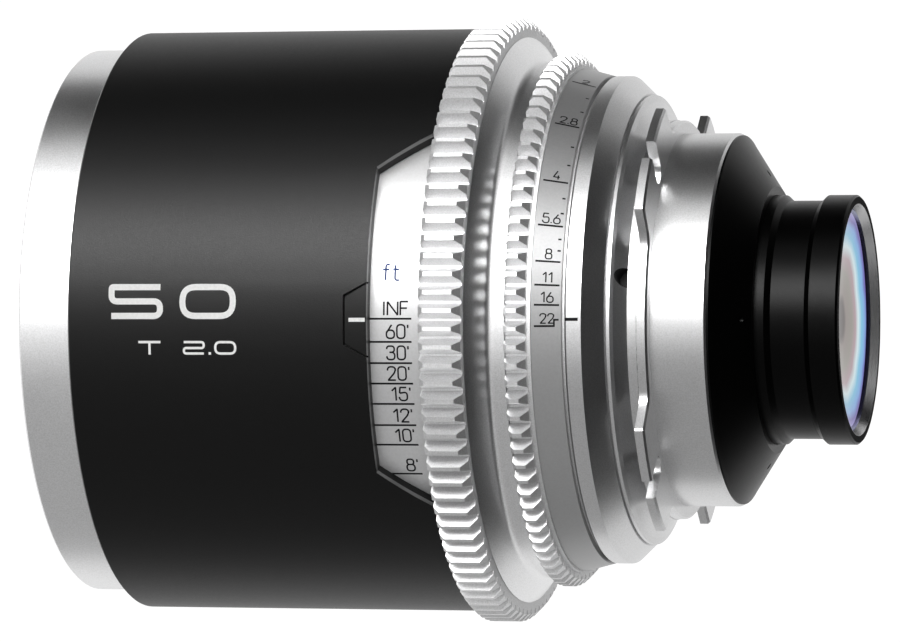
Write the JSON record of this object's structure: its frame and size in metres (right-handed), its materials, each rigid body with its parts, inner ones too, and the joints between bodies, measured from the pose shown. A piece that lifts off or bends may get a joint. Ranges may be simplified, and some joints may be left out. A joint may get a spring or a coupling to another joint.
{
  "type": "cinema prime lens",
  "caption": "Cinema prime lens with two toothed drive rings, a scale window, a blade iris and a four-tab lens mount.",
  "frame": {"origin": "centre of the front ring's front face, at the bottom of the bounding box", "axes": "+Z along the optical axis from the front to the mount, -Y towards the index line"},
  "size_m": [0.088, 0.088, 0.1139],
  "materials": {
    "satin_aluminium": "satin",
    "black_aluminium": "matte",
    "plain_aluminium": "satin",
    "steel": "satin",
    "blade_steel": "matte",
    "coated_glass": "gloss"
  },
  "bodies": {
    "root": {"front_ring": "satin_aluminium", "mid_ring": "satin_aluminium", "index_ring": "satin_aluminium", "mount_base": "satin_aluminium", "mount_flange": "satin_aluminium", "barrel_shell": "black_aluminium", "index_plate": "black_aluminium", "rear_cover": "black_aluminium", "front_retainer": "black_aluminium", "front_spacer": "black_aluminium", "rear_cell": "black_aluminium", "rear_ring": "black_aluminium", "relay_spacer": "black_aluminium", "relay_retainer": "black_aluminium", "front_cell": "black_aluminium", "iris_housing": "black_aluminium", "iris_cover": "black_aluminium", "main_barrel": "plain_aluminium", "mount_screws": "steel", "mount_shim": "steel", "front_element": "coated_glass", "second_element": "coated_glass", "relay_front_element": "coated_glass", "relay_rear_element": "coated_glass", "rear_element": "coated_glass"},
    "focus_ring": {"focus_gear_ring": "satin_aluminium", "focus_scale_ring": "satin_aluminium"},
    "focus_group": {"focus_cell": "black_aluminium", "focus_front_element": "coated_glass", "focus_spacer": "black_aluminium", "focus_rear_element": "coated_glass", "focus_retainer": "black_aluminium", "focus_follower": "steel", "focus_guide_pins": "steel"},
    "iris_ring": {"iris_gear_ring": "satin_aluminium", "iris_scale_ring": "satin_aluminium", "iris_drive_pin": "steel", "iris_drive_ring": "plain_aluminium"},
    "blade_1": {"iris_blade_1": "blade_steel"},
    "blade_2": {"iris_blade_2": "blade_steel"},
    "blade_3": {"iris_blade_3": "blade_steel"},
    "blade_4": {"iris_blade_4": "blade_steel"},
    "blade_5": {"iris_blade_5": "blade_steel"},
    "blade_6": {"iris_blade_6": "blade_steel"},
    "blade_7": {"iris_blade_7": "blade_steel"},
    "blade_8": {"iris_blade_8": "blade_steel"},
    "blade_9": {"iris_blade_9": "blade_steel"},
    "blade_10": {"iris_blade_10": "blade_steel"}
  },
  "joints": [
    {"name": "focus_ring_turn", "type": "hinge", "parent": "root", "child": "focus_ring", "pos_m": [0, 0, 0.06], "axis": [0, 0, -1], "range_deg": [0, 270]},
    {"name": "focus_group_slide", "type": "slide", "parent": "root", "child": "focus_group", "axis": [0, 0, -1], "range_m": [0, 0.0045]},
    {"name": "iris_ring_turn", "type": "hinge", "parent": "root", "child": "iris_ring", "pos_m": [0, 0, 0.072], "axis": [0, 0, 1], "range_deg": [0, 71.4]},
    {"name": "blade_1_swing", "type": "hinge", "parent": "root", "child": "blade_1", "pos_m": [0.02, 0, 0.0765], "axis": [0, 0, 1], "range_deg": [0, 37.42]},
    {"name": "blade_2_swing", "type": "hinge", "parent": "root", "child": "blade_2", "pos_m": [0.01618, 0.01176, 0.0765], "axis": [0, 0, 1], "range_deg": [0, 37.42]},
    {"name": "blade_3_swing", "type": "hinge", "parent": "root", "child": "blade_3", "pos_m": [0.00618, 0.01902, 0.0765], "axis": [0, 0, 1], "range_deg": [0, 37.42]},
    {"name": "blade_4_swing", "type": "hinge", "parent": "root", "child": "blade_4", "pos_m": [-0.00618, 0.01902, 0.0765], "axis": [0, 0, 1], "range_deg": [0, 37.42]},
    {"name": "blade_5_swing", "type": "hinge", "parent": "root", "child": "blade_5", "pos_m": [-0.01618, 0.01176, 0.0765], "axis": [0, 0, 1], "range_deg": [0, 37.42]},
    {"name": "blade_6_swing", "type": "hinge", "parent": "root", "child": "blade_6", "pos_m": [-0.02, 0, 0.0765], "axis": [0, 0, 1], "range_deg": [0, 37.42]},
    {"name": "blade_7_swing", "type": "hinge", "parent": "root", "child": "blade_7", "pos_m": [-0.01618, -0.01176, 0.0765], "axis": [0, 0, 1], "range_deg": [0, 37.42]},
    {"name": "blade_8_swing", "type": "hinge", "parent": "root", "child": "blade_8", "pos_m": [-0.00618, -0.01902, 0.0765], "axis": [0, 0, 1], "range_deg": [0, 37.42]},
    {"name": "blade_9_swing", "type": "hinge", "parent": "root", "child": "blade_9", "pos_m": [0.00618, -0.01902, 0.0765], "axis": [0, 0, 1], "range_deg": [0, 37.42]},
    {"name": "blade_10_swing", "type": "hinge", "parent": "root", "child": "blade_10", "pos_m": [0.01618, -0.01176, 0.0765], "axis": [0, 0, 1], "range_deg": [0, 37.42]}
  ],
  "couplings": [
    {"joint": "focus_group_slide", "follows": "focus_ring_turn", "m_per_rad": 0.00095493},
    {"joint": "blade_1_swing", "follows": "iris_ring_turn", "ratio": 0.52404},
    {"joint": "blade_2_swing", "follows": "iris_ring_turn", "ratio": 0.52404},
    {"joint": "blade_3_swing", "follows": "iris_ring_turn", "ratio": 0.52404},
    {"joint": "blade_4_swing", "follows": "iris_ring_turn", "ratio": 0.52404},
    {"joint": "blade_5_swing", "follows": "iris_ring_turn", "ratio": 0.52404},
    {"joint": "blade_6_swing", "follows": "iris_ring_turn", "ratio": 0.52404},
    {"joint": "blade_7_swing", "follows": "iris_ring_turn", "ratio": 0.52404},
    {"joint": "blade_8_swing", "follows": "iris_ring_turn", "ratio": 0.52404},
    {"joint": "blade_9_swing", "follows": "iris_ring_turn", "ratio": 0.52404},
    {"joint": "blade_10_swing", "follows": "iris_ring_turn", "ratio": 0.52404}
  ]
}
